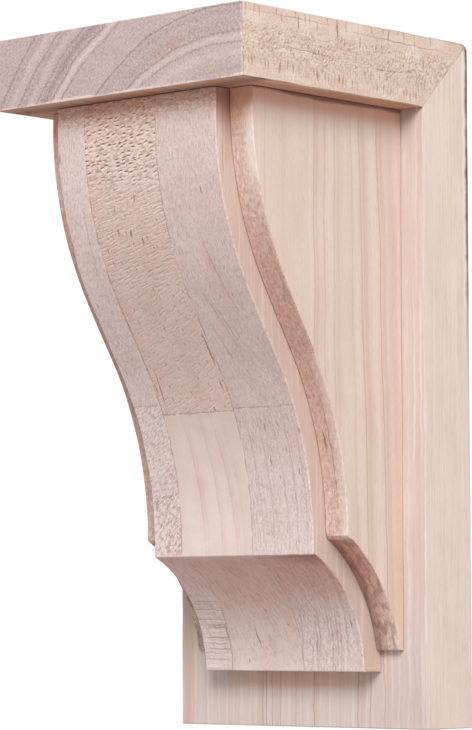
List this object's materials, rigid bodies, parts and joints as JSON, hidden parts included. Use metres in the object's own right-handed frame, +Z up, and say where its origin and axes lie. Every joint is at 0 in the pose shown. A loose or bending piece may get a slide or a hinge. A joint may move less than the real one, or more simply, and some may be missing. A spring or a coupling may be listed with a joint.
{
  "type": "wooden corbel bracket",
  "caption": "Wall corbel of bare pale hardwood: a flat shelf mitred to a back board, carried by an S-shaped block with a hollow cove below its step, between thinner cheeks.",
  "frame": {"origin": "middle of the back face, which lies flat on the wall", "axes": "+X to the right seen from the front, +Y from the front into the wall, +Z up"},
  "size_m": [0.146, 0.1505, 0.3048],
  "materials": {
    "shelf_wood": "bare, sanded",
    "back_wood": "bare, sanded",
    "block_wood": "bare, sawn and sanded",
    "cheek_wood": "bare, sanded"
  },
  "bodies": {
    "root": {"shelf_board": "shelf_wood", "back_board": "back_wood", "centre_block": "block_wood", "left_cheek": "cheek_wood", "right_cheek": "cheek_wood"}
  },
  "joints": []
}
